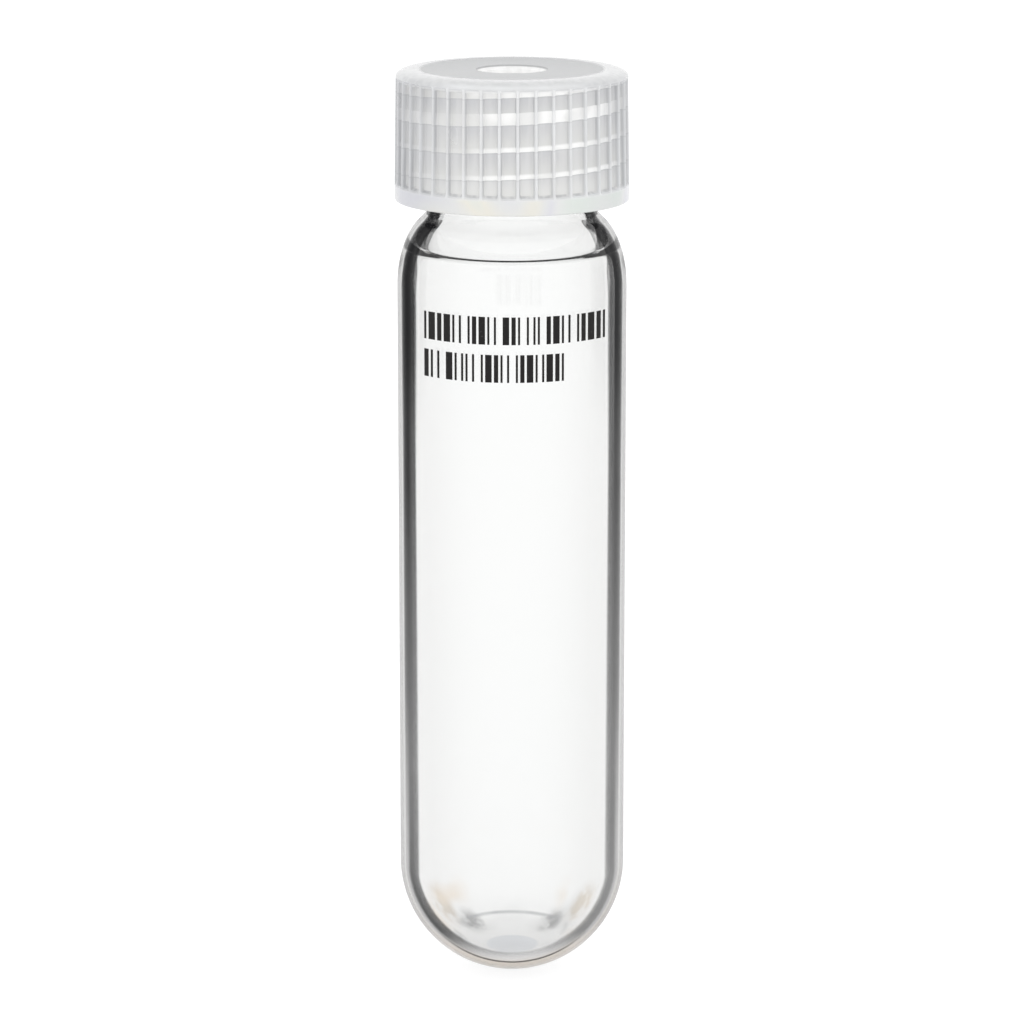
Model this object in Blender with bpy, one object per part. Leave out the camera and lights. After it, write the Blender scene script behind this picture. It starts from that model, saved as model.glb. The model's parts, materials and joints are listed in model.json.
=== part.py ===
"""Screw-cap test tube: a round-bottomed glass tube with a threaded neck, an open-top
ribbed cap, and the faced septum that the cap presses on the tube's rim.

Metres, +Z up. The origin is the lowest point of the tube, on the tube's axis.
"""

from math import asin, cos, pi, radians, sin

import bmesh
import bpy

MM = 0.001
GAP = 0.3 * MM  # kept between pieces that touch on the real object

# Glass tube
TUBE_R = 13.75 * MM
WALL = 1.6 * MM
SHOULDER_Z = 85.5 * MM  # where the straight body ends
SHOULDER_RX = 5.15 * MM  # the shoulder is a quarter of an ellipse this wide
SHOULDER_RZ = 9.0 * MM  # and this high
THROAT_R = 10.4 * MM  # waist between the shoulder and the neck
NECK_R = 10.75 * MM  # root of the glass thread
NECK_Z = 95.6 * MM
NECK_BORE_R = 8.4 * MM
RIM_Z = 107.6 * MM
RIM_ROUND = 0.5 * MM

# Screw thread of the neck and the cap: right-hand, eight turns per inch
PITCH = 25.4 * MM / 8
GLASS_CREST_R = 11.8 * MM
GLASS_THREAD_Z = 101.6 * MM  # middle of the ridge at its lower end, at the front
GLASS_TURNS = 1.4
CAP_CREST_R = 11.2 * MM
CAP_THREAD_Z = GLASS_THREAD_Z - PITCH / 2  # the cap's ridge runs midway between
CAP_TURNS = 2.25
RIDGE_ROOT_WIDTH = 1.7 * MM
RIDGE_CREST_WIDTH = 0.6 * MM
RIDGE_FADE = 0.12  # part of a turn over which a ridge rises from its wall
RIDGE_TIP = 0.05  # part of its full rise that a ridge has at its very ends
RIDGE_ROOTED = 0.15 * MM  # how deep a ridge reaches into its wall

# Cap
CAP_BOTTOM_Z = 95.8 * MM
CAP_TOP_Z = 111.4 * MM
CAP_SKIRT_R = 14.02 * MM
CAP_UPPER_R = 13.83 * MM
CAP_BORE_R = 12.2 * MM
CAP_PLATE = 1.3 * MM
CAP_HOLE_R = 4.0 * MM
CAP_EDGE_WIDTH = 1.9 * MM
CAP_EDGE_HEIGHT = 1.2 * MM
BAND_HEIGHT = 1.9 * MM  # plain band below the ribs
RIBS = 40
RIB_DEPTH = 0.6 * MM
RIB_CREST = 0.24  # part of the spacing that a rib's crest takes
RIB_FLANK = 0.06  # and each of its flanks
RIB_SLOPE = 0.5 * MM  # height over which a valley runs out at its ends
RIB_PHASE = 0.3  # where the first rib stands, in ribs
CHAMFER = 0.2 * MM

# Septum and its facing
SEPTUM_R = 11.0 * MM
SEPTUM_THICKNESS = 1.3 * MM
FACING_THICKNESS = 0.3 * MM

TURNED_SEGMENTS = 48
THREAD_STEPS = 32  # per turn
EDGE_ANGLE = radians(35)  # faces that meet at more than this are not smoothed


def clear_scene():
    for obj in list(bpy.data.objects):
        bpy.data.objects.remove(obj, do_unlink=True)


def principled(name, color, roughness, transmission=0.0, ior=1.5):
    material = bpy.data.materials.new(name)
    material.use_nodes = True
    inputs = material.node_tree.nodes["Principled BSDF"].inputs
    inputs["Base Color"].default_value = (*color, 1.0)
    inputs["Roughness"].default_value = roughness
    inputs["Metallic"].default_value = 0.0
    inputs["Transmission Weight"].default_value = transmission
    inputs["IOR"].default_value = ior
    return material


def add_object(name, bm):
    """Turn a bmesh into a linked object."""
    mesh = bpy.data.meshes.new(name)
    bm.to_mesh(mesh)
    bm.free()
    obj = bpy.data.objects.new(name, mesh)
    bpy.context.scene.collection.objects.link(obj)
    return obj


def finish(obj, material):
    """Give a piece its material, and shade it smooth except at its edges."""
    obj.data.materials.append(material)
    obj.data.shade_smooth()
    obj.data.set_sharp_from_angle(angle=EDGE_ANGLE)


def hide_tool(obj):
    """A cutter or an added shape only feeds a Boolean."""
    obj.hide_render = True
    obj.display_type = "WIRE"


def boolean(obj, tool, operation):
    modifier = obj.modifiers.new(f"{operation.lower()} {tool.name}", "BOOLEAN")
    modifier.operation = operation
    modifier.solver = "EXACT"
    modifier.object = tool
    hide_tool(tool)


def ring(bm, radii, angles, z):
    """A ring of vertices at height z, or a single one on the axis."""
    if radii[0] == 0:
        return [bm.verts.new((0, 0, z))]
    return [
        bm.verts.new((radius * cos(angle), radius * sin(angle), z))
        for radius, angle in zip(radii, angles)
    ]


def join_rings(bm, first, second):
    """Faces between two rings, facing out where the second is the higher one."""
    count = max(len(first), len(second))
    for i in range(count):
        j = (i + 1) % count
        if len(first) == 1:
            bm.faces.new((first[0], second[j], second[i]))
        elif len(second) == 1:
            bm.faces.new((first[i], first[j], second[0]))
        else:
            bm.faces.new((first[i], first[j], second[j], second[i]))


def turned(name, profile):
    """Revolve (radius, z) points about Z. The profile climbs on its outer side."""
    bm = bmesh.new()
    angles = [2 * pi * i / TURNED_SEGMENTS for i in range(TURNED_SEGMENTS)]
    rings = [ring(bm, [radius] * len(angles), angles, z) for radius, z in profile]
    for first, second in zip(rings, rings[1:]):
        join_rings(bm, first, second)
    if profile[0][0] > 0:
        join_rings(bm, rings[-1], rings[0])
    return add_object(name, bm)


def disc(name, radius, low, thickness):
    """A flat round plate."""
    high = low + thickness
    return turned(name, [(0, low), (radius, low), (radius, high), (0, high)])


def arc(center, radii, start, end, steps):
    """Points on an ellipse in the (radius, z) plane, at angles in radians."""
    angles = [start + (end - start) * i / steps for i in range(steps + 1)]
    return [
        (center[0] + radii[0] * cos(angle), center[1] + radii[1] * sin(angle))
        for angle in angles
    ]


def shoulder(inset, end_r, steps):
    """The shoulder's curve, inset from the outer surface, up to the radius end_r."""
    center_r = TUBE_R - SHOULDER_RX
    radii = (SHOULDER_RX - inset, SHOULDER_RZ - inset)
    end = pi / 2 - asin((end_r - center_r) / radii[0])
    return arc((center_r, SHOULDER_Z), radii, 0, end, steps)


def bottom(radius, steps):
    """A half-round bottom, from the axis out to the straight wall."""
    points = arc((0, TUBE_R), (radius, radius), -pi / 2, 0, steps)
    return [(0, TUBE_R - radius)] + points[1:]


def ridge(name, wall_r, crest_r, z, turns):
    """A helical thread ridge that rises from its wall at one end and fades at the other.
    It starts at the front, with its middle at height z."""
    bm = bmesh.new()
    root_r = wall_r - RIDGE_ROOTED if crest_r > wall_r else wall_r + RIDGE_ROOTED
    half_root = RIDGE_ROOT_WIDTH / 2
    half_crest = RIDGE_CREST_WIDTH / 2
    steps = round(turns * THREAD_STEPS)
    sections = []
    for i in range(steps + 1):
        turn = turns * i / steps
        to_nearer_end = min(turn, turns - turn)
        rise = min(1, RIDGE_TIP + to_nearer_end / RIDGE_FADE)
        top_r = wall_r + (crest_r - wall_r) * rise
        angle = 2 * pi * turn - pi / 2
        middle = z + PITCH * turn
        corners = (
            (root_r, -half_root),
            (top_r, -half_crest),
            (top_r, half_crest),
            (root_r, half_root),
        )
        sections.append([
            bm.verts.new((r * cos(angle), r * sin(angle), middle + dz)) for r, dz in corners
        ])
    for first, second in zip(sections, sections[1:]):
        for k in range(4):
            n = (k + 1) % 4
            bm.faces.new((first[k], second[k], second[n], first[n]))
    bm.faces.new(sections[0])
    bm.faces.new(sections[-1][::-1])
    bmesh.ops.recalc_face_normals(bm, faces=bm.faces)
    return add_object(name, bm)


def make_glass_tube():
    """The body, shoulder and neck as one turned wall, with the thread on the neck."""
    outer = bottom(TUBE_R, 10) + shoulder(0, THROAT_R, 8)
    neck = [(NECK_R, NECK_Z), (NECK_R, RIM_Z - RIM_ROUND), (NECK_R - RIM_ROUND, RIM_Z)]
    mouth = [(NECK_BORE_R + RIM_ROUND, RIM_Z), (NECK_BORE_R, RIM_Z - RIM_ROUND)]
    inner = bottom(TUBE_R - WALL, 8) + shoulder(WALL, NECK_BORE_R + CHAMFER, 7)
    inner.append((NECK_BORE_R, inner[-1][1] + CHAMFER))
    tube = turned("glass_tube", outer + neck + mouth + inner[::-1])
    thread = ridge("neck_thread", NECK_R, GLASS_CREST_R, GLASS_THREAD_Z, GLASS_TURNS)
    boolean(tube, thread, "UNION")
    finish(tube, principled("borosilicate_glass", (0.96, 0.98, 0.98), 0.02, 1.0, 1.47))


def rib_angles():
    """Four angles to a rib: its crest's two edges and the feet of its flanks."""
    spacing = 2 * pi / RIBS
    places = (
        -RIB_CREST / 2,
        RIB_CREST / 2,
        RIB_CREST / 2 + RIB_FLANK,
        1 - RIB_CREST / 2 - RIB_FLANK,
    )
    return [(rib + RIB_PHASE + place) * spacing for rib in range(RIBS) for place in places]


def cap_outline():
    """The rings of the cap's outside, bottom to top, as (radii, z)."""

    def plain(radius, z):
        return [radius] * (4 * RIBS), z

    def ribbed(radius, z):
        valley = radius - RIB_DEPTH
        return [radius, radius, valley, valley] * RIBS, z

    band_z = CAP_BOTTOM_Z + BAND_HEIGHT
    edge_z = CAP_TOP_Z - CAP_EDGE_HEIGHT
    taper = (CAP_SKIRT_R - CAP_UPPER_R) / (edge_z - band_z) * RIB_SLOPE
    edge_center = (CAP_UPPER_R - CAP_EDGE_WIDTH, edge_z)
    edge = arc(edge_center, (CAP_EDGE_WIDTH, CAP_EDGE_HEIGHT), 0, pi / 2, 3)
    return [
        plain(CAP_SKIRT_R - CHAMFER, CAP_BOTTOM_Z),
        plain(CAP_SKIRT_R, CAP_BOTTOM_Z + CHAMFER),
        plain(CAP_SKIRT_R, band_z),
        ribbed(CAP_SKIRT_R - taper, band_z + RIB_SLOPE),
        ribbed(CAP_UPPER_R + taper, edge_z - RIB_SLOPE),
        *[plain(radius, z) for radius, z in edge],
    ]


def make_cap_body():
    """The cap's outside as one solid, ribbed between its band and its rounded edge."""
    bm = bmesh.new()
    angles = rib_angles()
    rings = [ring(bm, radii, angles, z) for radii, z in cap_outline()]
    for first, second in zip(rings, rings[1:]):
        join_rings(bm, first, second)
    bm.faces.new(rings[0][::-1])
    bm.faces.new(rings[-1])
    return add_object("screw_cap", bm)


def make_screw_cap():
    """The cap, bored from below, with a hole through its top and a thread inside."""
    cap = make_cap_body()
    ceiling = CAP_TOP_Z - CAP_PLATE
    bore = turned("cap_bore", [
        (0, CAP_BOTTOM_Z - GAP),
        (CAP_BORE_R + CHAMFER + GAP, CAP_BOTTOM_Z - GAP),
        (CAP_BORE_R, CAP_BOTTOM_Z + CHAMFER),
        (CAP_BORE_R, ceiling),
        (CAP_HOLE_R, ceiling),
        (CAP_HOLE_R, CAP_TOP_Z - CHAMFER),
        (CAP_HOLE_R + CHAMFER + GAP, CAP_TOP_Z + GAP),
        (0, CAP_TOP_Z + GAP),
    ])
    boolean(cap, bore, "DIFFERENCE")
    thread = ridge("cap_thread", CAP_BORE_R, CAP_CREST_R, CAP_THREAD_Z, CAP_TURNS)
    boolean(cap, thread, "UNION")
    finish(cap, principled("natural_polypropylene", (0.86, 0.87, 0.87), 0.35, 0.3, 1.49))
    return cap


def make_septum():
    top = CAP_TOP_Z - CAP_PLATE - GAP
    septum = disc("septum", SEPTUM_R, top - SEPTUM_THICKNESS, SEPTUM_THICKNESS)
    finish(septum, principled("white_silicone", (0.9, 0.9, 0.88), 0.55))
    return septum


def make_facing():
    facing = disc("septum_facing", SEPTUM_R, RIM_Z + GAP, FACING_THICKNESS)
    finish(facing, principled("fluoropolymer_film", (0.93, 0.93, 0.92), 0.3))
    return facing


def add_closure(pieces):
    """An empty on the screw's axis that carries everything that turns or lifts off."""
    closure = bpy.data.objects.new("closure", None)
    bpy.context.scene.collection.objects.link(closure)
    for piece in pieces:
        piece.parent = closure


def main():
    clear_scene()
    make_glass_tube()
    add_closure([make_screw_cap(), make_septum(), make_facing()])


main()
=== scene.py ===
"""Looks of the screw-cap test tube: clear glass with a printed code, a ribbed
translucent cap, and the seal under it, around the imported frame."""

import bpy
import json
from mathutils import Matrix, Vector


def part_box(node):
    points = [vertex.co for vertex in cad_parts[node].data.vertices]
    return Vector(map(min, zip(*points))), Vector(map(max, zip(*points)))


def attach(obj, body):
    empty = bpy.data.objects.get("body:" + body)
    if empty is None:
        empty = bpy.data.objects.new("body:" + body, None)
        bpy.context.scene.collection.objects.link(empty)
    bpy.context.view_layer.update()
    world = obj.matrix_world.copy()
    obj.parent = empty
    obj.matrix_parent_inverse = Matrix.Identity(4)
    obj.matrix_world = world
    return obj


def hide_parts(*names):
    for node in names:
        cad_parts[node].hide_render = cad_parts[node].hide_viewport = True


bl_info = {
    "name": "Screw-Cap Test Tube",
    "version": (1, 0, 0),
    "blender": (4, 5, 0),
    "location": "3D View > Sidebar > Test Tube",
    "description": "Models a round-bottomed glass test tube with its ribbed screw cap",
    "category": "Add Mesh",
}

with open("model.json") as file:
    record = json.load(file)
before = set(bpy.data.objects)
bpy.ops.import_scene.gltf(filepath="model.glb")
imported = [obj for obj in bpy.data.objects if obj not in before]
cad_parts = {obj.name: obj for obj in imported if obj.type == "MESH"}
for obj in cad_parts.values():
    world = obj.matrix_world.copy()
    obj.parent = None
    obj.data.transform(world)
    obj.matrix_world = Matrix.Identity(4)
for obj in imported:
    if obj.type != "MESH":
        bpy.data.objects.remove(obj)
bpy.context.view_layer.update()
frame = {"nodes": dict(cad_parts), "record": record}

import json
from math import acos, atan2, cos, degrees, pi, radians, sin

import bmesh
import bpy
from mathutils import Vector

MM = 0.001

# sizes of the frame
tube_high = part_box("glass_tube")[1]
cap_low, cap_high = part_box("screw_cap")
TUBE_R = tube_high.x
RIM_Z = tube_high.z
CAP_R = cap_high.x
CAP_TOP = cap_high.z
CAP_FOOT = cap_low.z
PITCH = frame["record"]["behaviour"]["couplings"][0]["ratio"] * 2 * pi

# the glass
SHOULDER_WIDTH = 5.15 * MM
SHOULDER_HEIGHT = 9.0 * MM
SHOULDER_END_R = 10.9 * MM
NECK_R = 10.75 * MM
RIM_ROUND = 0.7 * MM
THREAD_Z = 101.6 * MM  # where the thread on the glass begins

# the cap
BAND_HEIGHT = 1.9 * MM  # the plain band below the ribs
WALL_TOP_R = 13.83 * MM
EDGE_WIDTH = 1.9 * MM
EDGE_HEIGHT = 0.9 * MM
DISC_R = 10.9 * MM
DISC_DEPTH = 0.06 * MM
PLATE = 1.3 * MM
BORE_R = 12.2 * MM
HOLE_TAPER = 0.55 * MM

# the stage
FLOOR_R = 4.0
FLAG_R = 0.12
FLAG_HEIGHT = 0.3
FLAGS = ((25, 65), (-48, -25))  # where each flag begins and ends, by azimuth
SENSOR = 36.0  # in millimetres, as the lens
LENS = 152.97
CAMERA_TARGET = Vector((0, 0, 57.46 * MM))
CAMERA_DISTANCE = 527.8 * MM
CAMERA_PITCH = radians(12.81)


# Sizes and colours that a user may change


class TUBE_PG_glass(bpy.types.PropertyGroup):
    wall: bpy.props.FloatProperty(
        name="Wall", description="Thickness of the body's wall",
        default=1.6 * MM, unit="LENGTH",
    )
    shoulder_start: bpy.props.FloatProperty(
        name="Shoulder", description="Height where the straight body ends",
        default=85.5 * MM, unit="LENGTH",
    )
    bore: bpy.props.FloatProperty(
        name="Bore", description="Radius of the hole through the neck",
        default=8.4 * MM, unit="LENGTH",
    )
    tint: bpy.props.FloatVectorProperty(
        name="Tint", description="Colour of the clear glass",
        default=(0.985, 0.99, 0.99), subtype="COLOR", min=0, max=1,
    )


class TUBE_PG_cap(bpy.types.PropertyGroup):
    ribs: bpy.props.IntProperty(
        name="Ribs", description="Number of grip ribs around the cap", default=40
    )
    rib_depth: bpy.props.FloatProperty(
        name="Rib depth", description="How far the ribs stand out",
        default=0.6 * MM, unit="LENGTH",
    )
    hole: bpy.props.FloatProperty(
        name="Hole", description="Radius of the hole in the cap's top",
        default=4.0 * MM, unit="LENGTH",
    )
    plastic: bpy.props.FloatVectorProperty(
        name="Plastic", description="Colour of the natural plastic",
        default=(0.78, 0.79, 0.80), subtype="COLOR", min=0, max=1,
    )


class TUBE_PG_print(bpy.types.PropertyGroup):
    ink: bpy.props.FloatVectorProperty(
        name="Ink", description="Colour of the printed code",
        default=(0.012, 0.011, 0.011), subtype="COLOR", min=0, max=1,
    )
    height: bpy.props.FloatProperty(
        name="Bar height", description="Height of a row of bars",
        default=3.3 * MM, unit="LENGTH",
    )
    gap: bpy.props.FloatProperty(
        name="Row gap", description="Clear height between the rows",
        default=1.2 * MM, unit="LENGTH",
    )
    top: bpy.props.FloatProperty(
        name="Top", description="Height of the upper row's upper edge",
        default=83.9 * MM, unit="LENGTH",
    )
    left: bpy.props.FloatProperty(
        name="Left", description="Where the rows begin, from the middle",
        default=-10.35 * MM, unit="LENGTH",
    )
    narrow: bpy.props.FloatProperty(
        name="Narrow bar", description="Width of the narrowest bar",
        default=0.257 * MM, unit="LENGTH",
    )


class TUBE_PG_stage(bpy.types.PropertyGroup):
    light: bpy.props.FloatProperty(
        name="Light", description="Strength of the even studio light", default=1.2
    )


# Shading


class Wire:
    """A node's output. Used in an expression, it adds the Math nodes that work it out."""

    def __init__(self, shading, socket):
        self.shading = shading
        self.socket = socket

    def math(self, operation, *values):
        settings = {"operation": operation}
        return self.shading.node("ShaderNodeMath", settings, dict(enumerate(values)))

    def __add__(self, other):
        return self.math("ADD", self, other)

    def __radd__(self, other):
        return self.math("ADD", other, self)

    def __sub__(self, other):
        return self.math("SUBTRACT", self, other)

    def __rsub__(self, other):
        return self.math("SUBTRACT", other, self)

    def __mul__(self, other):
        return self.math("MULTIPLY", self, other)

    def __rmul__(self, other):
        return self.math("MULTIPLY", other, self)

    def __truediv__(self, other):
        return self.math("DIVIDE", self, other)

    def __pow__(self, other):
        return self.math("POWER", self, other)

    def __abs__(self):
        return self.math("ABSOLUTE", self)

    def fraction(self):
        return self.math("FRACT", self)

    def smooth(self, low, high):
        """0 below low, 1 above high, smooth between."""
        settings = {"interpolation_type": "SMOOTHSTEP"}
        sockets = {"Value": self, "From Min": low, "From Max": high}
        return self.shading.node("ShaderNodeMapRange", settings, sockets)

    def between(self, rise, rise_end, fall, fall_end):
        """1 from rise_end to fall, 0 before rise and after fall_end, smooth between."""
        return self.smooth(rise, rise_end) * (1 - self.smooth(fall, fall_end))


class Shading:
    """A material's or the world's node tree, emptied and ready to be wired."""

    def __init__(self, owner):
        owner.use_nodes = True
        self.tree = owner.node_tree
        self.tree.nodes.clear()

    def node(self, kind, settings=None, sockets=None, output=0):
        node = self.tree.nodes.new(kind)
        for key, value in (settings or {}).items():
            setattr(node, key, value)
        for key, value in (sockets or {}).items():
            if isinstance(value, Wire):
                self.tree.links.new(value.socket, node.inputs[key])
            else:
                node.inputs[key].default_value = value
        return Wire(self, node.outputs[output]) if node.outputs else node

    def place(self):
        """Object coordinates, and their x, y and z."""
        spot = self.node("ShaderNodeTexCoord", output="Object")
        axes = [
            self.node("ShaderNodeSeparateXYZ", {}, {0: spot}, output=axis) for axis in "XYZ"
        ]
        return (spot, *axes)

    def noise(self, spot, size, detail=3.0, distortion=0.0):
        """Noise from 0 to 1 with features of about this size in metres."""
        sockets = {"Vector": spot, "Scale": 1 / size, "Detail": detail}
        sockets["Distortion"] = distortion
        return self.node("ShaderNodeTexNoise", {}, sockets, output="Fac")

    def ramp(self, factor, stops):
        """A colour ramp from its (position, grey or colour) stops."""
        ramp = self.node("ShaderNodeValToRGB", {}, {"Fac": factor})
        elements = ramp.socket.node.color_ramp.elements
        while len(elements) < len(stops):
            elements.new(1.0)
        for element, (position, color) in zip(elements, stops):
            element.position = position
            element.color = (*(color if isinstance(color, tuple) else (color,) * 3), 1)
        return ramp

    def mix(self, factor, first, second, blend="MIX"):
        settings = {"data_type": "RGBA", "blend_type": blend}
        first, second = [
            (*color, 1) if isinstance(color, tuple) and len(color) == 3 else color
            for color in (first, second)
        ]
        return self.node("ShaderNodeMix", settings, {0: factor, 6: first, 7: second}, 2)

    def bump(self, height, depth, strength=1.0):
        sockets = {"Height": height, "Distance": depth, "Strength": strength}
        return self.node("ShaderNodeBump", {}, sockets)

    def principled(self, sockets):
        return self.node("ShaderNodeBsdfPrincipled", {}, sockets)

    def surface(self, shader, kind="ShaderNodeOutputMaterial"):
        self.node(kind, {}, {"Surface": shader})


def new_material(name):
    material = bpy.data.materials.new(name)
    return material, Shading(material)


# How strongly the painted dark band along the glass's wall darkens it, standing in for the dark
# surroundings seen through the glass, by height from the foot up to BAND_SPAN, and from its inner
# side to its outer side, by how far one looks along the wall.
BAND_SPAN = 95 * MM
BAND_BY_HEIGHT = (
    (0.01, 0.10), (0.05, 0.85), (0.16, 0.66), (0.29, 0.58), (0.49, 0.76), (0.66, 0.92),
    (0.90, 0.90),
)
BAND_BY_FACING = (
    (0.465, 0.0), (0.495, 0.9), (0.53, 0.78), (0.565, 0.92), (0.60, 1.0), (0.65, 0.95),
    (0.69, 0.8), (0.74, 0.0),
)
PALE_GLASS = (0.97, 0.98, 0.98)
WALL_GLASS = (0.80, 0.80, 0.795)
# painted shade towards the wall's edges, a painted warm refraction near the foot, and the painted
# dark band
WALL_EDGE_SHADE = (0.70, 0.695, 0.69)
WARM_PAINTED_REFRACTION = (0.50, 0.40, 0.30)
PAINTED_BAND_SHADE = (0.15, 0.15, 0.15)


def clear_glass(tint, outside):
    """Clear polished glass. The outside darkens where one looks along its wall: painted
    shade that stands in for the dark surroundings seen through the glass.
    """
    material, s = new_material("clear_glass_outside" if outside else "clear_glass_inside")
    spot, x, y, z = s.place()
    body = s.noise(spot, 40 * MM, 1.0)
    color = s.mix(body, tuple(tint), PALE_GLASS)
    glass = {"Roughness": body * 0.01, "IOR": 1.47, "Transmission Weight": 1.0}
    if not outside:
        s.surface(s.principled({**glass, "Base Color": painted_foot_refraction(s, spot, x, y, z, color)}))
        return material
    facing = s.node("ShaderNodeLayerWeight", {}, {"Blend": 0.5}, output="Facing")
    strength = s.ramp(z / BAND_SPAN, BAND_BY_HEIGHT)
    low = 1 - z.smooth(10 * MM, 40 * MM)
    across = s.ramp(facing, BAND_BY_FACING) * (1 - facing.smooth(0.60, 0.67) * low)
    # the right side is a little paler, most of all near the foot: less painted shade there
    right = x.smooth(-2 * MM, 2 * MM)
    side = 1 - right * (0.12 + (1 - z.smooth(5 * MM, 25 * MM)) * 0.35)
    up = z.smooth(3 * MM, 7.5 * MM)
    dark = across * strength * side * up
    # round the foot the painted dark band gives way to two fine painted dark lines
    outer_line = facing.between(0.625, 0.65, 0.66, 0.68)
    inner_line = facing.between(0.47, 0.49, 0.49, 0.51)
    dark = dark + (outer_line * 0.85 + inner_line * 0.1) * (1 - up)
    # a painted dark rim at the very edge of the wall
    rim = facing.smooth(0.70, 0.78) * (up * 0.23 + 0.1)
    # the glass is painted darker towards its edges and warm near the foot: painted shade and
    # painted refraction
    color = s.mix(facing.smooth(0.0, 0.35), WALL_GLASS, WALL_EDGE_SHADE)
    warm = facing.smooth(0.55, 0.7) * (1 - z.smooth(6 * MM, 18 * MM))
    color = s.mix(warm * body.smooth(0.3, 0.6), color, WARM_PAINTED_REFRACTION)
    band = facing.between(0.465, 0.53, 0.69, 0.75) * up
    clear = s.principled({**glass, "Base Color": s.mix(band, color, PAINTED_BAND_SHADE)})
    # a black shader mixed in as painted shade
    black = s.principled({
        "Base Color": s.mix(body, (0.0, 0.0, 0.0), (0.01, 0.01, 0.012)),
        "Roughness": 1.0,
        "Specular IOR Level": 0.0,
    })
    s.surface(s.node("ShaderNodeMixShader", {}, {0: dark + rim, 1: clear, 2: black}))
    return material


def round_patch(across, y, center_x, center_y, inner, outer):
    """1 within inner of a point on either side of the tube, 0 beyond outer."""
    distance = ((across - center_x) ** 2 + (y - center_y) ** 2) ** 0.5
    return 1 - distance.smooth(inner, outer)


def painted_foot_refraction(s, spot, x, y, z, color):
    """Paint what the thick foot of the tube bends into view, as painted shade and painted
    reflection: an arc, a lens and streaks.
    """
    radius = (x * x + y * y) ** 0.5
    across = abs(x)
    under = 1 - z.smooth(4.5 * MM, 7.5 * MM)
    uneven = s.noise(spot, 4 * MM, 1.0)
    grain = s.noise(spot, 1.6 * MM, 1.0).smooth(0.35, 0.6)
    # painted dark streaks in the thick foot
    streaks = uneven.smooth(0.45, 0.62) * radius.smooth(3.5 * MM, 6 * MM)
    streaks = streaks * across.smooth(3.5 * MM, 7 * MM) * (1 - radius.smooth(7 * MM, 8 * MM))
    color = s.mix(streaks * under * 0.7, color, (0.40, 0.41, 0.43))
    # a painted dark patch on either side
    painted_dark_patch = round_patch(across, y, 5.2 * MM, 4.2 * MM, 0.6 * MM, 2.4 * MM) * under
    color = s.mix(painted_dark_patch * (grain * 0.6 + 0.35), color, (0.22, 0.22, 0.225))
    # a painted warm glint on either side
    glint = round_patch(across, y, 9.2 * MM, 3 * MM, 1 * MM, 3 * MM)
    glint = glint * (1 - z.smooth(7 * MM, 10 * MM))
    color = s.mix(glint * (grain * 0.6 + 0.3), color, (0.60, 0.49, 0.36))
    # painted warm tints low on the foot
    warm = s.noise(spot, 6 * MM, 1.0).smooth(0.42, 0.6) * radius.smooth(6.5 * MM, 8.5 * MM)
    warm = warm * across.smooth(5 * MM, 8 * MM) * (1 - z.smooth(6 * MM, 10 * MM))
    color = s.mix(warm * 0.8, color, (0.84, 0.68, 0.50))
    # a painted dark arc
    arc_line = radius.between(6.9 * MM, 7.25 * MM, 7.3 * MM, 7.6 * MM)
    arc_line = arc_line * y.smooth(3.5 * MM, 5.5 * MM) * (0.35 + uneven * 0.6)
    color = s.mix(arc_line, color, (0.2, 0.21, 0.23))
    # a painted blue-grey lens in the middle
    lens = 1 - radius.smooth(3.1 * MM, 3.5 * MM)
    return s.mix(lens * under, color, (0.74, 0.78, 0.84))


def above_foot(mm):
    """The height this many millimetres above the cap's foot."""
    return CAP_FOOT + mm * MM


def below_top(mm):
    """The height this many millimetres below the cap's top."""
    return CAP_TOP - mm * MM


# The faint colours of the band below the ribs
SHEEN = (
    (0.32, (0.69, 0.74, 0.70)), (0.42, (0.745, 0.75, 0.745)), (0.5, (0.70, 0.70, 0.74)),
    (0.58, (0.735, 0.74, 0.735)), (0.66, (0.78, 0.76, 0.69)), (0.74, (0.69, 0.75, 0.73)),
)
DRAFT = 0.0152  # how much the cap's wall leans in, for each unit of height
THREAD_LIGHT_Z = 100.05 * MM  # where the painted light first comes through under the thread


def natural_plastic(tint):
    """Translucent moulded plastic. Painted light stands for the light that comes through
    between the turns of the thread, and painted shade darkens the valleys and the sides;
    the skirt is a little iridescent, and the middle of the top is spark-eroded matt."""
    material, s = new_material("natural_plastic")
    spot, x, y, z = s.place()
    radius = (x * x + y * y) ** 0.5
    cloud = s.noise(spot, 5 * MM)
    speckle = s.noise(spot, 0.25 * MM)
    upright = s.node("ShaderNodeVectorMath", {"operation": "MULTIPLY"}, {0: spot, 1: (1, 1, 0.08)})
    streak = s.noise(upright, 0.8 * MM, 1.0).smooth(0.35, 0.65)
    lid = z.smooth(below_top(0.65), below_top(0.2))
    disc = lid * (1 - radius.smooth(DISC_R - 0.15 * MM, DISC_R + 0.1 * MM))
    color = s.mix(cloud.smooth(0.3, 0.7), tuple(tint), (0.72, 0.725, 0.73))
    color = ribbed_wall(s, color, (spot, x, y, z), radius, cloud, streak)
    color = plain_band(s, color, spot, x, z)
    color = rounded_edge(s, color, x, z, streak)
    color = top_plate(s, color, radius, lid, disc, streak, speckle)
    s.surface(s.principled({
        "Base Color": color,
        "Roughness": cloud * 0.1 + 0.2 + disc * 0.3,
        "IOR": 1.49,
        "Transmission Weight": 0.12,
        "Normal": s.bump(speckle * disc + s.noise(spot, 1.2 * MM) * 0.4, 0.02 * MM),
    }))
    return material


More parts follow.
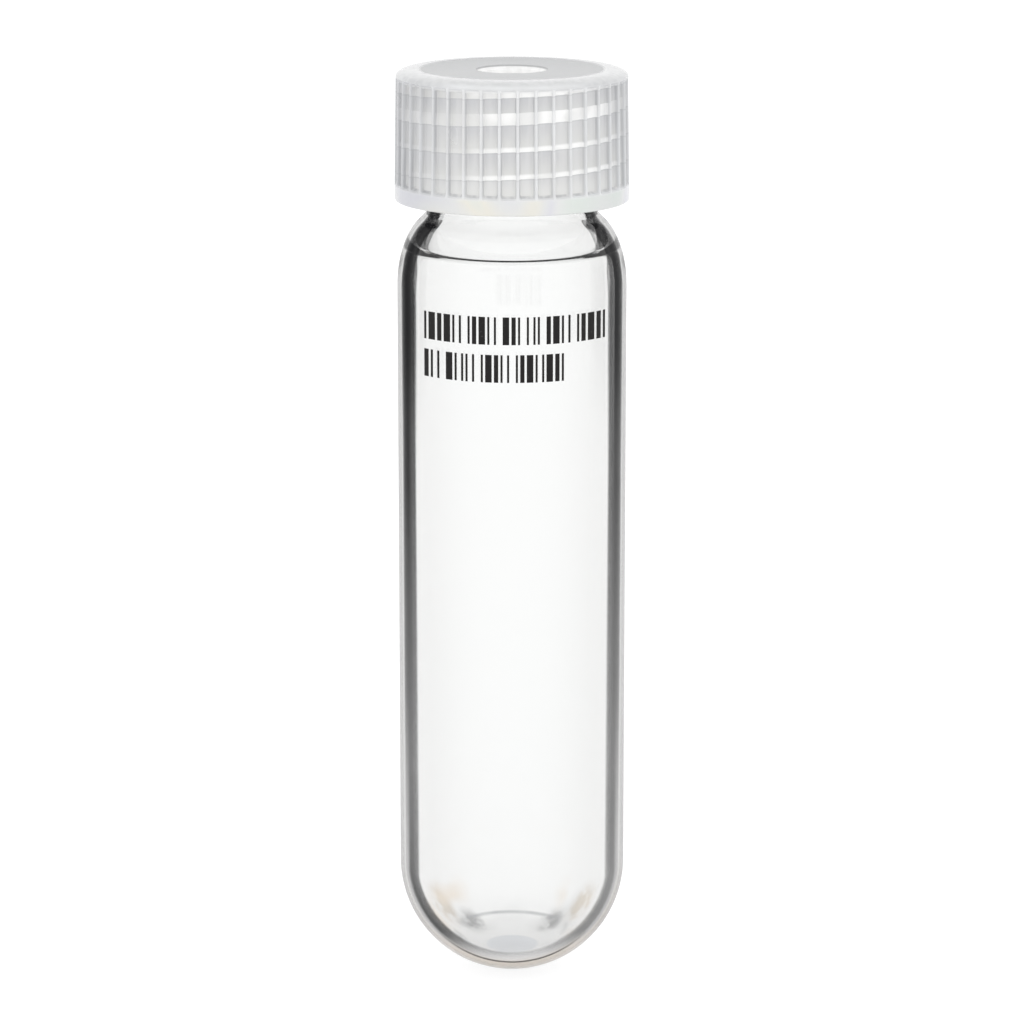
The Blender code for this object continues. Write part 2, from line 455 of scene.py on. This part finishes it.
def ribbed_wall(s, color, place, radius, cloud, streak):
    """Paint shade into the valleys and onto the ribs' flanks, and paint the light between the
    thread's turns.
    """
    spot, x, y, z = place
    wall = z.between(above_foot(1.7), above_foot(2.2), below_top(1.25), below_top(0.85))
    # the radius, less the draft
    full = radius + (z - CAP_FOOT - BAND_HEIGHT) * DRAFT
    valley = (1 - full.smooth(13.62 * MM, 13.8 * MM)) * wall
    flank = full.between(13.46 * MM, 13.56 * MM, 13.72 * MM, 13.9 * MM)
    # turns of the thread that lie below, and how far up the next one is
    around = x.math("ARCTAN2", x, y * -1) / (2 * pi)
    turn = (z - THREAD_LIGHT_Z) / PITCH - around + (cloud - 0.5) * 0.08
    rise = turn.fraction()
    last_turn = turn.smooth(1.9, 2.0)
    window = 1 - rise.smooth(0.10 + last_turn * 0.33, 0.22 + last_turn * 0.24)
    # the painted light between the turns is strongest at the front of the cap
    front = (x * 0.35 - y * 0.94).smooth(8.5 * MM, 12.5 * MM)
    patch = s.noise(spot, 9 * MM, 1.0).smooth(0.42, 0.65)
    uneven = s.noise(spot, 3 * MM, 0.0).smooth(0.3, 0.5) * 0.5 + 0.5
    painted_light = window * (patch * 0.2 + front * 0.85 + 0.08) * uneven
    line = rise.smooth(0.93, 0.98)
    low = 1 - z.smooth(above_foot(2), above_foot(5.5))
    # painted shade in the valleys, darkest just under each turn of the thread and paler near the
    # foot
    shade = s.mix(patch, (0.60, 0.605, 0.62), (0.66, 0.665, 0.67))
    cell = s.mix(rise.smooth(0.1, 1.0), (0.72, 0.72, 0.705), shade)
    cell = s.mix(streak * 0.5, cell, (0.72, 0.72, 0.725))
    cell = s.mix(low * 0.9, cell, (0.80, 0.80, 0.785))
    color = s.mix(valley, color, cell)
    # painted shade on the ribs' flanks and along the thread's turns
    color = s.mix(flank * wall * (0.2 + streak * 0.5), color, (0.46, 0.465, 0.48))
    color = s.mix(line * wall * 0.35, color, (0.50, 0.51, 0.52))
    # painted light between the turns of the thread
    color = s.mix(painted_light * valley, color, (1.0, 1.0, 0.99))
    color = s.mix(painted_light * wall * 0.35, color, (0.95, 0.95, 0.95))
    # the valleys run out under the edge: a painted highlight, with a fine painted dark outline
    runout = z.between(below_top(1.4), below_top(1.25), below_top(1.1), below_top(0.95))
    runout = runout * (1 - full.smooth(13.7 * MM, 13.95 * MM))
    color = s.mix(runout * 0.6, color, (0.97, 0.97, 0.97))
    outline = z.between(below_top(1.0), below_top(0.9), below_top(0.82), below_top(0.7))
    outline = outline * (1.3 - full.smooth(13.8 * MM, 13.95 * MM))
    return s.mix(outline * 0.4, color, (0.5, 0.505, 0.51))


def plain_band(s, color, spot, x, z):
    """Colour the band below the ribs, and paint shade on the cap's sides."""
    band = 1 - z.smooth(above_foot(1.6), above_foot(2.1))
    color = s.mix(band, color, s.ramp(s.noise(spot, 14 * MM, 0.0, 1.0), SHEEN))
    # painted shade on the cap's sides, more on the left
    sides = abs(x).smooth(6 * MM, 13.5 * MM) + (x * -1).smooth(4 * MM, 12 * MM) * 0.5
    return s.mix(sides * 0.6, color, s.mix(1.0, color, (0.80, 0.805, 0.82), "MULTIPLY"))


def rounded_edge(s, color, x, z, streak):
    """Paint shade on the rounded edge towards the cap's sides."""
    edge = z.smooth(below_top(0.95), below_top(0.75)) * abs(x).smooth(5 * MM, 11 * MM)
    shade = s.mix(streak, (0.57, 0.575, 0.585), (0.63, 0.635, 0.64))
    return s.mix(edge * 0.9, color, shade)


def top_plate(s, color, radius, lid, disc, streak, speckle):
    """Colour the smooth ring and the matt disc, paint light into the hole, and paint shade on its
    chamfer and at its bottom.
    """
    color = s.mix(lid, color, s.mix(streak, (0.61, 0.615, 0.62), (0.66, 0.665, 0.67)))
    color = s.mix(disc, color, s.mix(speckle, (0.50, 0.505, 0.51), (0.58, 0.585, 0.59)))
    seam = radius.between(DISC_R - 0.1 * MM, DISC_R, DISC_R + 0.1 * MM, DISC_R + 0.3 * MM)
    color = s.mix(seam * lid * 0.35, color, (0.42, 0.425, 0.43))
    # painted light in the hole
    hole = 1 - radius.smooth(4.18 * MM, 4.22 * MM)
    color = s.mix(hole, color, s.mix(streak, (0.90, 0.90, 0.895), (0.98, 0.98, 0.975)))
    # painted shade on the hole's chamfer
    chamfer = radius.between(4.08 * MM, 4.14 * MM, 4.24 * MM, 4.3 * MM)
    color = s.mix(chamfer * 0.7, color, (0.36, 0.365, 0.37))
    # painted shade at the hole's bottom
    bottom = 1 - radius.smooth(3.5 * MM, 3.6 * MM)
    return s.mix(bottom * 0.6, color, (0.42, 0.425, 0.43))


def silicone():
    """Matte white rubber with a fine dusty grain."""
    material, s = new_material("white_silicone")
    spot = s.place()[0]
    grain = s.noise(spot, 0.4 * MM)
    s.surface(s.principled({
        "Base Color": s.mix(grain, (0.84, 0.84, 0.82), (0.93, 0.93, 0.91)),
        "Roughness": grain * 0.2 + 0.5,
        "Normal": s.bump(grain, 0.01 * MM),
    }))
    return material


def film():
    """Smooth white fluoropolymer film."""
    material, s = new_material("white_film")
    spot = s.place()[0]
    grain = s.noise(spot, 1.5 * MM)
    s.surface(s.principled({
        "Base Color": s.mix(grain, (0.9, 0.9, 0.89), (0.95, 0.95, 0.94)),
        "Roughness": grain * 0.1 + 0.25,
    }))
    return material


def fired_ink(tint):
    """Black ink fired on glass, a little thin in places."""
    material, s = new_material("fired_ink")
    spot = s.place()[0]
    wear = s.noise(spot, 0.25 * MM)
    s.surface(s.principled({
        "Base Color": s.mix(wear.smooth(0.6, 0.8), tuple(tint), (0.06, 0.06, 0.06)),
        "Roughness": wear * 0.2 + 0.45,
        "Specular IOR Level": 0.15,
        "Normal": s.bump(wear, 0.005 * MM),
    }))
    return material


def dark_card():
    """A card that is black above and shades off to the floor's brightness below."""
    material, s = new_material("dark_card")
    z = s.place()[3]
    s.surface(s.principled({
        "Base Color": (0.0, 0.0, 0.0, 1),
        "Roughness": 1.0,
        "Specular IOR Level": 0.0,
        "Emission Color": s.mix(z.smooth(38 * MM, 62 * MM), (1.0, 1.0, 1.0), (0.0, 0.0, 0.0)),
        "Emission Strength": 1.2,
    }))
    return material


def pale_floor():
    """A pale floor lit a little from below, which keeps its shadows faint."""
    material, s = new_material("pale_floor")
    spot = s.place()[0]
    s.surface(s.principled({
        "Base Color": s.mix(s.noise(spot, 0.5), (0.29, 0.29, 0.29), (0.31, 0.31, 0.31)),
        "Roughness": 1.0,
        "Emission Color": (1, 1, 1, 1),
        "Emission Strength": 0.84,
    }))
    return material


# Modelling


def start_ring(name, segments, radius, z):
    """Begin a turned piece: a ring of vertices, open for editing and selected."""
    bpy.ops.object.select_all(action="DESELECT")
    bpy.ops.mesh.primitive_circle_add(vertices=segments, radius=radius, location=(0, 0, z))
    piece = bpy.context.active_object
    piece.name = piece.data.name = name
    bpy.ops.object.transform_apply()
    bpy.ops.object.mode_set(mode="EDIT")
    bpy.ops.mesh.select_all(action="SELECT")
    return piece


def climb(profile):
    """Extrude the selected ring through (radius, z) points. The first is where it is."""
    for (radius, z), (next_radius, next_z) in zip(profile, profile[1:]):
        bpy.ops.mesh.extrude_region_move(
            TRANSFORM_OT_translate={"value": (0, 0, next_z - z)}
        )
        scale = next_radius / radius
        bpy.ops.transform.resize(value=(scale, scale, 1), center_override=(0, 0, next_z))


def close_pole(z, ring_z):
    """Draw the selected ring, which is at ring_z, together to a point on the axis."""
    bpy.ops.mesh.extrude_region_move(
        TRANSFORM_OT_translate={"value": (0, 0, z - ring_z)}
    )
    bpy.ops.mesh.merge(type="CENTER")


def select_verts(piece, wanted):
    """Select the vertices of the piece in edit mode whose test passes."""
    bpy.ops.mesh.select_all(action="DESELECT")
    bm = bmesh.from_edit_mesh(piece.data)
    for vert in bm.verts:
        vert.select = wanted(vert)
    bm.select_flush(True)
    bmesh.update_edit_mesh(piece.data)


def leave_edit():
    """Point the faces out and return to object mode."""
    bpy.ops.mesh.select_all(action="SELECT")
    bpy.ops.mesh.normals_make_consistent(inside=False)
    bpy.ops.object.mode_set(mode="OBJECT")


def smooth(piece, limit):
    """Shade smooth wherever faces meet at less than this many degrees."""
    bpy.ops.object.select_all(action="DESELECT")
    bpy.context.view_layer.objects.active = piece
    piece.select_set(True)
    bpy.ops.object.shade_smooth_by_angle(angle=radians(limit))


def apply_modifiers(piece):
    bpy.ops.object.select_all(action="DESELECT")
    bpy.context.view_layer.objects.active = piece
    piece.select_set(True)
    for modifier in list(piece.modifiers):
        bpy.ops.object.modifier_apply(modifier=modifier.name)


def put_in_order(piece):
    """Sort a mesh in edit mode, since a union leaves it in another order each time."""
    askew = Vector((0.61, 0.37, 0.70))
    bm = bmesh.from_edit_mesh(piece.data)
    bm.verts.sort(key=lambda vert: vert.co.dot(askew))
    for elements in (bm.edges, bm.faces):
        elements.sort(key=lambda item: sum((v.co for v in item.verts), Vector()).dot(askew))
    bmesh.update_edit_mesh(piece.data)


def unite(piece, other):
    """Join another closed solid into the piece, and clear away the slivers at the seam."""
    union = piece.modifiers.new("union", "BOOLEAN")
    union.operation = "UNION"
    union.solver = "EXACT"
    union.object = other
    apply_modifiers(piece)
    bpy.data.objects.remove(other)
    bpy.ops.object.mode_set(mode="EDIT")
    put_in_order(piece)
    bpy.ops.mesh.select_all(action="SELECT")
    sliver = 0.003 * MM
    bpy.ops.mesh.remove_doubles(threshold=sliver)
    bpy.ops.mesh.dissolve_degenerate(threshold=sliver)
    leave_edit()


def arc(center, radii, start, end, steps):
    """Points on an ellipse in the (radius, z) plane, angles in degrees."""
    angles = [radians(start + (end - start) * i / steps) for i in range(steps + 1)]
    return [(center[0] + radii[0] * cos(a), center[1] + radii[1] * sin(a)) for a in angles]


def spline(knots, steps=6):
    """A smooth curve through points given in millimetres, as points in metres."""
    ends = [knots[0], *knots, knots[-1]]
    points = []
    for a, b, c, d in zip(ends, ends[1:], ends[2:], ends[3:]):
        for step in range(steps):
            t = step / steps
            points.append(tuple(
                (2 * q + (r - p) * t + (2 * p - 5 * q + 4 * r - s) * t ** 2
                 + (3 * q - p - 3 * r + s) * t ** 3) / 2 * MM
                for p, q, r, s in zip(a, b, c, d)
            ))
    return points + [(knots[-1][0] * MM, knots[-1][1] * MM)]


def thread_bead(wall_r, z, turns, half_height, half_width, sides=14, steps=96, fade=9):
    """A round-backed helical bead centred on a wall, drawn fine at both ends."""
    bpy.ops.object.select_all(action="DESELECT")
    bpy.ops.mesh.primitive_circle_add(
        vertices=sides, radius=1, location=(0, -wall_r, z), rotation=(pi / 2, 0, pi / 2)
    )
    bead = bpy.context.active_object
    bead.scale = (half_height, half_width, 1)
    bpy.ops.object.transform_apply()
    screw = bead.modifiers.new("screw", "SCREW")
    screw.angle = 2 * pi * turns
    screw.screw_offset = PITCH * turns
    screw.steps = screw.render_steps = round(steps * turns)
    screw.use_merge_vertices = False
    screw.merge_threshold = 0.01 * MM
    apply_modifiers(bead)
    sections = len(bead.data.vertices) // sides
    bpy.ops.object.mode_set(mode="EDIT")
    for end in range(fade):
        shrink = 0.1 + 0.9 * end / fade
        for section in (end, sections - 1 - end):
            members = range(section * sides, (section + 1) * sides)
            select_verts(bead, lambda vert: vert.index in members)
            center = ring_center(bead, members)
            bpy.ops.transform.resize(value=(shrink,) * 3, center_override=center)
    bpy.ops.mesh.select_all(action="DESELECT")
    bpy.ops.mesh.select_non_manifold(extend=False)
    bpy.ops.mesh.fill_holes(sides=0)
    leave_edit()
    return bead


def ring_center(piece, members):
    bm = bmesh.from_edit_mesh(piece.data)
    bm.verts.ensure_lookup_table()
    return sum((bm.verts[i].co for i in members), Vector()) / len(members)


class TUBE_OT_glass(bpy.types.Operator):
    """Turn the glass tube, with its round bottom, shoulder and threaded neck"""

    bl_idname = "tube.glass"
    bl_label = "Glass Tube"

    SIDES = 160
    MIDDLE_Z = 40 * MM  # a ring in the straight body, inside
    # radius and height in millimetres; each list is drawn as a smooth curve
    THROAT = [(10.35, 94.15), (10.05, 94.8), (9.95, 95.5), (10.1, 96.1), (10.75, 96.9)]
    INNER_SHOULDER = [
        (12.15, 84.5), (12.1, 86.5), (11.9, 88.3), (11.6, 89.4), (11.25, 89.85),
        (10.9, 90.1), (10.3, 90.9), (9.5, 92.1), (8.9, 93.2), (8.5, 94.4), (8.4, 95.8),
    ]

    def execute(self, context):
        glass = context.scene.tube_glass
        inner_r = TUBE_R - glass.wall
        outer = arc((0, TUBE_R), (TUBE_R, TUBE_R), -88, 0, 30) + self.shoulder(glass)
        lip = RIM_ROUND
        neck = spline(self.THROAT)
        neck += [(NECK_R, RIM_Z - lip)]
        neck += arc((NECK_R - lip, RIM_Z - lip), (lip, lip), 0, 90, 6)[1:]
        mouth = arc((glass.bore + lip, RIM_Z - lip), (lip, lip), 90, 180, 6)
        inner = arc((0, TUBE_R), (inner_r, inner_r), -87, 0, 28)
        inner += [(inner_r, self.MIDDLE_Z)]
        inner += spline(self.INNER_SHOULDER)
        profile = outer + neck + mouth + inner[::-1]
        foot_z, inner_foot_z = profile[0][1], profile[-1][1]
        tube = start_ring("tube_glass", self.SIDES, *profile[0])
        climb(profile)
        close_pole(inner_foot_z, inner_foot_z)
        select_verts(tube, lambda vert: vert.co.z < foot_z + 0.01 * MM)
        close_pole(0, foot_z)
        leave_edit()
        unite(tube, thread_bead(
            NECK_R, THREAD_Z, turns=1.4, half_height=1.0 * MM, half_width=0.85 * MM
        ))
        smooth(tube, 40)
        tube.data.materials.clear()
        tube.data.materials.append(clear_glass(glass.tint, True))
        tube.data.materials.append(clear_glass(glass.tint, False))
        for face in tube.data.polygons:
            face.material_index = self.is_inside(glass, face)
        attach(tube, "tube")
        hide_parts("glass_tube")
        return {"FINISHED"}

    @staticmethod
    def is_inside(glass, face):
        """Whether a face belongs to the tube's inner skin, as it looks to its middle."""
        height = face.center.z
        if height < glass.shoulder_start + 8 * MM:  # the bottom, the body or the shoulder
            height = min(max(height, TUBE_R), glass.shoulder_start)
        return face.normal.dot(face.center - Vector((0, 0, height))) < 0

    @staticmethod
    def shoulder(glass):
        """Part of an ellipse, from the straight body in to where the throat begins."""
        center = (TUBE_R - SHOULDER_WIDTH, glass.shoulder_start)
        end = degrees(acos((SHOULDER_END_R - center[0]) / SHOULDER_WIDTH))
        return arc(center, (SHOULDER_WIDTH, SHOULDER_HEIGHT), 0, end, 26)


class TUBE_OT_cap(bpy.types.Operator):
    """Mould the ribbed screw cap, with its hole and its inner thread"""

    bl_idname = "tube.cap"
    bl_label = "Screw Cap"

    POINTS = 16  # to a rib
    PHASE = 0.3  # how far the first rib stands off the x axis, in ribs
    # how high the outline stands, by steps from the middle of a rib
    RIB = {0: 1.0, 1: 0.85, 2: 0.2}
    # height in millimetres past a valley's end, and part of its depth reached there
    SINK = ((0.15, 0.3), (0.35, 0.75), (0.6, 1.0))

    def execute(self, context):
        settings = context.scene.tube_cap
        band_z = CAP_FOOT + BAND_HEIGHT
        edge_z = CAP_TOP - EDGE_HEIGHT
        lip = 0.25 * MM
        foot = arc((CAP_R - lip, CAP_FOOT + lip), (lip, lip), -90, 0, 3)
        cap = start_ring("ribbed_cap", settings.ribs * self.POINTS, *foot[0])
        climb(foot + [(CAP_R, band_z)])
        # the valleys sink in above the band and run out under the rounded edge
        slope = (CAP_R - WALL_TOP_R) / (edge_z - band_z)
        last = (CAP_R, band_z)
        depth = 0
        steps = [(band_z + rise * MM, part) for rise, part in self.SINK]
        steps += [(edge_z - rise * MM, part) for rise, part in self.SINK[::-1]]
        steps += [(edge_z, 0)]
        for z, part in steps:
            here = (CAP_R - slope * (z - band_z), z)
            climb([last, here])
            self.sink_valleys(cap, settings, here[0], depth, part)
            last, depth = here, part
        edge = arc((WALL_TOP_R - EDGE_WIDTH, edge_z), (EDGE_WIDTH, EDGE_HEIGHT), 0, 90, 10)
        hole = settings.hole
        disc_z = CAP_TOP - DISC_DEPTH
        ceiling = CAP_TOP - PLATE
        bevel = 0.3 * MM
        inside = [
            (DISC_R + 0.1 * MM, CAP_TOP), (DISC_R, disc_z),
            (hole + bevel, disc_z), (hole, disc_z - bevel),
            (hole - HOLE_TAPER, ceiling + 0.15 * MM), (hole - 0.5 * MM, ceiling),
            (BORE_R - bevel, ceiling), (BORE_R, ceiling - bevel),
            (BORE_R, CAP_FOOT + bevel), (BORE_R + bevel, CAP_FOOT),
        ]
        climb(edge + inside)
        select_verts(cap, lambda vert: vert.co.z < CAP_FOOT + 0.001 * MM)
        bpy.ops.mesh.bridge_edge_loops()
        leave_edit()
        unite(cap, thread_bead(
            BORE_R, THREAD_Z - PITCH / 2, turns=2.25, half_height=0.95 * MM, half_width=0.7 * MM
        ))
        smooth(cap, 35)
        cap.data.materials.clear()
        cap.data.materials.append(natural_plastic(settings.plastic))
        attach(cap, "cap")
        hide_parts("screw_cap")
        return {"FINISHED"}

    def sink_valleys(self, cap, settings, radius, before, after):
        """Change how deep the selected ring's valleys lie, as parts of the rib depth."""
        spacing = 2 * pi / settings.ribs
        half = self.POINTS // 2
        bm = bmesh.from_edit_mesh(cap.data)
        ring = {}
        for vert in bm.verts:
            if vert.select:
                turn = (atan2(vert.co.y, vert.co.x) / spacing - self.PHASE) * self.POINTS
                ring[vert.index] = abs((round(turn) + half) % self.POINTS - half)
        for place in range(1, half + 1):
            fall = (1 - self.RIB.get(place, 0)) * settings.rib_depth
            members = {index for index, near in ring.items() if near == place}
            scale = (radius - fall * after) / (radius - fall * before)
            select_verts(cap, lambda vert: vert.index in members)
            bpy.ops.transform.resize(value=(scale, scale, 1), center_override=(0, 0, 0))
        select_verts(cap, lambda vert: vert.index in ring)


class TUBE_OT_seal(bpy.types.Operator):
    """Finish the septum and the film on its lower side"""

    bl_idname = "tube.seal"
    bl_label = "Seal"

    def execute(self, context):
        for node, material in (("septum", silicone()), ("septum_facing", film())):
            mesh = frame["nodes"][node].data
            mesh.materials.clear()
            mesh.materials.append(material)
        return {"FINISHED"}


class TUBE_OT_print(bpy.types.Operator):
    """Print two rows of plain bars on the front of the glass"""

    bl_idname = "tube.print"
    bl_label = "Printed Code"

    # widths of the bars and of the gaps between them, in narrow bars
    ROWS = (
        "1131213112131121311213312113121113213112131121312112",
        "211213311211121311312112131121311211312113",
    )

    def execute(self, context):
        settings = context.scene.tube_print
        for number, widths in enumerate(self.ROWS):
            code = self.row(settings, number, widths)
            self.wrap(code)
            code.data.materials.append(fired_ink(settings.ink))
            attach(code, "tube")
        return {"FINISHED"}

    @staticmethod
    def row(settings, number, widths):
        """Flat bars standing in front of the glass, fine enough to bend round it."""
        bpy.ops.object.select_all(action="DESELECT")
        top = settings.top - number * (settings.height + settings.gap)
        middle = top - settings.height / 2
        bars = []
        start = settings.left
        for place, width in enumerate(widths):
            end = start + int(width) * settings.narrow
            if place % 2 == 0:
                bpy.ops.mesh.primitive_plane_add(size=1)
                bar = bpy.context.active_object
                bar.scale = (end - start, settings.height, 1)
                bar.rotation_euler = (pi / 2, 0, 0)
                bar.location = ((start + end) / 2, -TUBE_R - 1 * MM, middle)
                bars.append(bar)
            start = end
        bpy.ops.object.select_all(action="DESELECT")
        for bar in bars:
            bar.select_set(True)
        bpy.context.view_layer.objects.active = bars[0]
        bpy.ops.object.join()
        code = bpy.context.active_object
        code.name = code.data.name = f"printed_code_{number}"
        bpy.ops.object.transform_apply()
        bpy.ops.object.mode_set(mode="EDIT")
        bpy.ops.mesh.select_all(action="SELECT")
        bpy.ops.mesh.subdivide(number_cuts=3)
        bpy.ops.object.mode_set(mode="OBJECT")
        return code

    @staticmethod
    def wrap(code):
        """Press the bars onto the glass and give them the thickness of ink."""
        press = code.modifiers.new("press", "SHRINKWRAP")
        press.target = bpy.data.objects["tube_glass"]
        press.wrap_method = "PROJECT"
        press.use_project_y = True
        press.offset = 0.01 * MM
        ink = code.modifiers.new("ink", "SOLIDIFY")
        ink.thickness = 0.02 * MM
        ink.offset = 1
        apply_modifiers(code)


def azimuth(point):
    """Degrees to the left of +Y, from -190 to 170."""
    return (degrees(atan2(-point.x, point.y)) + 190) % 360 - 190


class TUBE_OT_stage(bpy.types.Operator):
    """Set the floor, the even light, the dark flags and the camera"""

    bl_idname = "tube.stage"
    bl_label = "Stage"

    def execute(self, context):
        settings = context.scene.tube_stage
        bpy.ops.object.select_all(action="DESELECT")
        bpy.ops.mesh.primitive_circle_add(vertices=64, radius=FLOOR_R, fill_type="NGON")
        floor = context.active_object
        floor.name = "floor"
        floor.data.materials.append(pale_floor())
        self.set_flags()
        self.set_world(context.scene, settings)
        self.set_camera(context.scene)
        context.scene.view_settings.view_transform = "Standard"
        return {"FINISHED"}

    @staticmethod
    def set_flags():
        """Dark cards seen only through glass, which draw the edges of the glass."""
        card = dark_card()
        for number, (start, end) in enumerate(FLAGS):
            bpy.ops.object.select_all(action="DESELECT")
            bpy.ops.mesh.primitive_circle_add(vertices=360, radius=FLAG_R)
            flag = bpy.context.active_object
            flag.name = f"flag_{number}"
            bpy.ops.object.mode_set(mode="EDIT")
            select_verts(flag, lambda vert: not start <= azimuth(vert.co) <= end)
            bpy.ops.mesh.delete(type="VERT")
            bpy.ops.mesh.select_all(action="SELECT")
            bpy.ops.mesh.extrude_region_move(
                TRANSFORM_OT_translate={"value": (0, 0, FLAG_HEIGHT)}
            )
            bpy.ops.object.mode_set(mode="OBJECT")
            flag.data.materials.append(card)
            flag.visible_camera = False
            flag.visible_diffuse = False
            flag.visible_glossy = False
            flag.visible_shadow = False

    @staticmethod
    def set_world(scene, settings):
        scene.world = bpy.data.worlds.new("studio")
        s = Shading(scene.world)
        light = s.node("ShaderNodeBackground", {}, {
            "Color": (1, 1, 1, 1), "Strength": settings.light,
        })
        s.surface(light, "ShaderNodeOutputWorld")

    @staticmethod
    def set_camera(scene):
        data = bpy.data.cameras.new("camera")
        data.sensor_width = SENSOR
        data.lens = LENS
        camera = bpy.data.objects.new("camera", data)
        scene.collection.objects.link(camera)
        back = Vector((0, -cos(CAMERA_PITCH), sin(CAMERA_PITCH)))
        camera.location = CAMERA_TARGET + back * CAMERA_DISTANCE
        camera.rotation_euler = (-back).to_track_quat("-Z", "Y").to_euler()
        scene.camera = camera


class TUBE_PT_panel(bpy.types.Panel):
    bl_idname = "TUBE_PT_panel"
    bl_label = "Test Tube"
    bl_space_type = "VIEW_3D"
    bl_region_type = "UI"
    bl_category = "Test Tube"

    def draw(self, context):
        for operator in OPERATORS:
            self.layout.operator(operator.bl_idname)


SETTINGS = {
    "tube_glass": TUBE_PG_glass,
    "tube_cap": TUBE_PG_cap,
    "tube_print": TUBE_PG_print,
    "tube_stage": TUBE_PG_stage,
}
OPERATORS = (TUBE_OT_glass, TUBE_OT_cap, TUBE_OT_seal, TUBE_OT_print, TUBE_OT_stage)
CLASSES = (*SETTINGS.values(), *OPERATORS, TUBE_PT_panel)


def register():
    for cls in CLASSES:
        bpy.utils.register_class(cls)
    for name, group in SETTINGS.items():
        setattr(bpy.types.Scene, name, bpy.props.PointerProperty(type=group))


def unregister():
    for name in SETTINGS:
        delattr(bpy.types.Scene, name)
    for cls in reversed(CLASSES):
        bpy.utils.unregister_class(cls)


def main():
    register()
    bpy.ops.tube.glass()
    bpy.ops.tube.cap()
    bpy.ops.tube.seal()
    bpy.ops.tube.print()
    bpy.ops.tube.stage()


if __name__ == "__main__":
    main()
